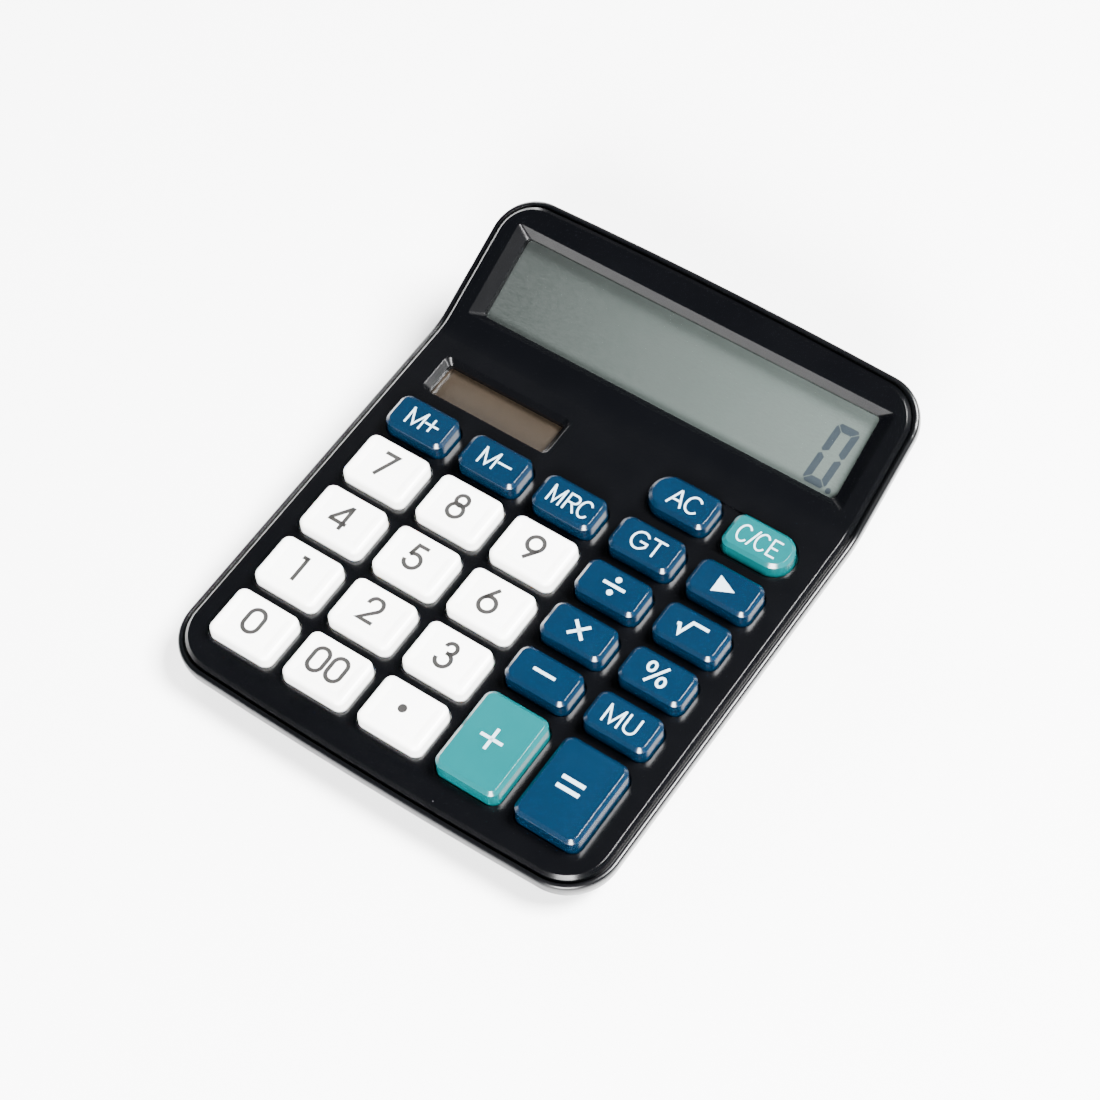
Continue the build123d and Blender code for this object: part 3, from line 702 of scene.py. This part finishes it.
def dress_all():
    black = (0.0006, 0.0007, 0.0010, 1)
    case_top = moulded_plastic("case_top", black, 0.21, grain=0.002, edge=0.2, dust=0.03, gloss_level=0.3)
    case_shell = moulded_plastic("case_shell", black, 0.26, grain=0.002, edge=0.2, dust=0.02,
                                 gloss_level=0.3)
    steel = plated_metal("zinc_plate", (0.62, 0.62, 0.64, 1), 0.3)
    nickel = plated_metal("nickel_plate", (0.75, 0.73, 0.70, 1), 0.22)
    black_resin = moulded_plastic("epoxy", (0.02, 0.02, 0.02, 1), 0.35, grain=0.01)
    looks = {
        "upper_case": case_top, "lower_case": case_shell, "battery_door": case_shell,
        "case_screws": steel, "board_screws": steel,
        "solar_leads": rubber("red_wire", (0.45, 0.02, 0.02, 1)),
        "rubber_feet": rubber("foot_rubber", (0.02, 0.02, 0.02, 1)),
        "rubber_keypad": rubber("keypad_rubber", (0.35, 0.36, 0.37, 1)),
        "carbon_pills": rubber("carbon", (0.015, 0.015, 0.015, 1)),
        "main_board": circuit_board(), "display_flex": printed_film(), "battery": battery_sleeve(),
        "battery_spring": nickel, "negative_contact": nickel, "positive_contact": nickel,
        "battery_lead_black": rubber("black_wire", (0.015, 0.015, 0.015, 1)),
        "battery_lead_red": rubber("red_lead", (0.5, 0.02, 0.02, 1)),
        "display_window": clear_sheet("display_window", (0.01, 0.012, 0.012, 1), 0.04),
        "solar_window": clear_sheet("solar_window", (0.01, 0.01, 0.01, 1), 0.05),
        "lcd_front_polarizer": display_film(),
        "lcd_front_glass": clear_sheet("lcd_front_glass", (0.01, 0.014, 0.012, 1), 0.03),
        "lcd_rear_glass": clear_sheet("lcd_rear_glass", (0.01, 0.014, 0.012, 1), 0.03),
        "lcd_reflector": plated_metal("lcd_reflector", (0.6, 0.64, 0.6, 1), 0.4),
        "lcd_frame": moulded_plastic("inner_plastic", (0.06, 0.06, 0.065, 1), 0.5, grain=0.01),
        "solar_cell": solar_film(), "chip_resin": black_resin, "chip_resistors": black_resin,
        "capacitors": plated_metal("capacitor_can", (0.55, 0.57, 0.6, 1), 0.3),
    }
    for node, material in looks.items():
        dress(node, material)

    white = key_plastic("white_key", (0.88, 0.88, 0.86, 1), 0.3)
    blue = key_plastic("blue_key", (0.0, 0.0062, 0.0165, 1), 0.22)
    teal = key_plastic("teal_key", (0.0, 0.052, 0.056, 1), 0.22)
    dark_ink = ink("grey_ink", (0.0075, 0.0066, 0.0062, 1))
    pale_ink = ink("white_ink", (0.30, 0.40, 0.45, 1))
    slots = {entry["node"]: entry["material_slot"] for entry in frame["record"]["subparts"]}
    plastics = {"white_key": white, "blue_key": blue, "teal_key": teal}
    for node, legend in LEGENDS.items():
        slot = slots[node]
        dress(node, plastics[slot])
        is_white = slot == "white_key"
        plane = key_top(node, NUMBER_TRAY if is_white else 0.0)
        printed_piece(f"legend_{node}", legend(), plane, node, dark_ink if is_white else pale_ink)


# ---------------------------------------------------------------- the lit digit
DIGIT_LEFT = 40.5           # outer edges of the digit at mid height, before its slant
DIGIT_RIGHT = 46.75
DIGIT_MIDDLE = 15.17
DIGIT_HALF_HEIGHT = 7.98
DIGIT_SLANT = tan(radians(5.5))
SEGMENT_WIDTH = 1.8
SEGMENT_HEIGHT = 0.01
DIGIT_POINT = (47.1, 7.5)
DIGIT_POINT_RADIUS = 0.72


def digit_segments():
    """The six lit segments of a nought and its point, on the display face in millimetres."""
    half_width = (DIGIT_RIGHT - DIGIT_LEFT) / 2
    centre = (DIGIT_LEFT + DIGIT_RIGHT) / 2
    inner = half_width - SEGMENT_WIDTH
    inner_top = DIGIT_HALF_HEIGHT - SEGMENT_WIDTH - 0.1
    upright = [
        (half_width - 0.6, 0.18), (half_width, 0.7), (half_width, DIGIT_HALF_HEIGHT - 1.2),
        (half_width - 0.3, DIGIT_HALF_HEIGHT - 0.72), (inner + 0.03, inner_top - 0.12), (inner, 1.0),
    ]
    crosspiece = [
        (half_width - 0.95, DIGIT_HALF_HEIGHT), (half_width - 0.5, DIGIT_HALF_HEIGHT - 0.55),
        (inner - 0.1, inner_top),
    ]
    outlines = []
    for up in (1, -1):
        for side in (1, -1):
            outlines.append([(side * x, up * y) for x, y in upright])
        right_end = [(x, up * y) for x, y in crosspiece]
        outlines.append(right_end + [(-x, y) for x, y in right_end[::-1]])
    slanted = []
    for outline in outlines:
        points = [(centre + x + y * DIGIT_SLANT, DIGIT_MIDDLE + y) for x, y in outline]
        slanted.append(Patch(points))
    return slanted + [dot(DIGIT_POINT, DIGIT_POINT_RADIUS)]


def display_plane():
    """The display's frame with its origin on the fold line, just under the window."""
    low, high = local_box("display_window", DISPLAY)
    fold_to_window = 4.5
    gap = 0.05
    return DISPLAY @ Matrix.Translation(Vector((0, low.y - fold_to_window * MM, low.z - gap * MM)))


def segment_ink():
    graph = Graph("lcd_segment")
    grain = graph.noise(0.00035, 2.0)
    cover = graph.ramp(grain, 0.3, 0.7, 0.0, 1.0)
    base = graph.blend(cover, (0.0004, 0.0045, 0.0085, 1), (0.0008, 0.0060, 0.0105, 1))
    graph.set(Base_Color=base, Roughness=graph.ramp(grain, 0.3, 0.7, 0.45, 0.55))
    return graph.material


def build_display():
    printed_piece("lcd_digit", digit_segments(), display_plane(), CASE, segment_ink(),
                  height=SEGMENT_HEIGHT)


# ---------------------------------------------------------------- floor, light and camera
def floor():
    graph = Graph("floor")
    cloud = graph.noise(0.5, 2.0)
    base = graph.blend(cloud, (0.86, 0.86, 0.86, 1), (0.9, 0.9, 0.9, 1))
    graph.set(Base_Color=base, Roughness=graph.ramp(cloud, 0.3, 0.7, 0.55, 0.65))
    bpy.ops.mesh.primitive_plane_add(size=6.0, location=(0, 0, 0))
    plane = bpy.context.object
    plane.name = "floor"
    plane.data.materials.append(graph.material)


def look_at(item, target):
    item.rotation_euler = (Vector(target) - item.location).to_track_quat("-Z", "Y").to_euler()


def softbox(name, location, size, power):
    light = bpy.data.lights.new(name, "AREA")
    light.shape = "RECTANGLE"
    light.size, light.size_y = size
    light.energy = power
    lamp = bpy.data.objects.new(name, light)
    bpy.context.scene.collection.objects.link(lamp)
    lamp.location = location
    look_at(lamp, (0, 0, 0.01))


def fade(tree, value, edges, lights):
    """A world light that goes smoothly from one brightness to another between two edges."""
    node = tree.nodes.new("ShaderNodeMapRange")
    node.interpolation_type = "SMOOTHSTEP"
    node.inputs["From Min"].default_value = edges[0]
    node.inputs["From Max"].default_value = edges[1]
    node.inputs["To Min"].default_value = lights[0]
    node.inputs["To Max"].default_value = lights[1]
    tree.links.new(value, node.inputs["Value"])
    return node.outputs["Result"]


def surroundings():
    """A dim room with a pale backdrop low down and a soft glow in front, for the front edges."""
    world = bpy.data.worlds.new("studio")
    world.use_nodes = True
    tree = world.node_tree
    background = tree.nodes["Background"]
    background.inputs["Color"].default_value = (1, 1, 1, 1)
    direction = tree.nodes.new("ShaderNodeTexCoord").outputs["Generated"]
    parts = tree.nodes.new("ShaderNodeSeparateXYZ")
    tree.links.new(direction, parts.inputs["Vector"])
    total = tree.nodes.new("ShaderNodeMath")
    glow = fade(tree, parts.outputs["Y"], GLOW_EDGES, (GLOW_LIGHT, ROOM_LIGHT))
    backdrop = fade(tree, parts.outputs["Z"], BACKDROP_EDGES, (BACKDROP_LIGHT, 0.0))
    tree.links.new(glow, total.inputs[0])
    tree.links.new(backdrop, total.inputs[1])
    tree.links.new(total.outputs["Value"], background.inputs["Strength"])
    bpy.context.scene.world = world


def studio_light():
    """Three softboxes, placed so that neither the deck nor the display mirrors one to the camera."""
    softbox("right_box", (0.74, 0.44, 1.30), (0.7, 0.7), 225.0)
    softbox("front_box", (0.60, -1.30, 0.85), (0.8, 0.6), 190.0)
    softbox("left_box", (-1.15, 0.93, 0.61), (0.8, 0.8), 40.0)


def camera():
    low, high = CAD_SIZE
    middle_x = (low[0] + high[0]) / 2
    middle_y = (low[1] + high[1]) / 2
    aim = Vector((middle_x + AIM_OFFSET[0], middle_y + AIM_OFFSET[1], AIM_HEIGHT))
    azimuth = radians(CAMERA_AZIMUTH)
    elevation = radians(CAMERA_ELEVATION)
    away = Vector((sin(azimuth) * cos(elevation), -cos(azimuth) * cos(elevation), sin(elevation)))
    data = bpy.data.cameras.new("camera")
    data.lens = CAMERA_LENS
    data.sensor_width = SENSOR_WIDTH
    viewer = bpy.data.objects.new("camera", data)
    bpy.context.scene.collection.objects.link(viewer)
    viewer.location = aim + away * CAMERA_DISTANCE
    look_at(viewer, aim)
    bpy.context.scene.camera = viewer


floor()
surroundings()
studio_light()
camera()
dress_all()
build_display()
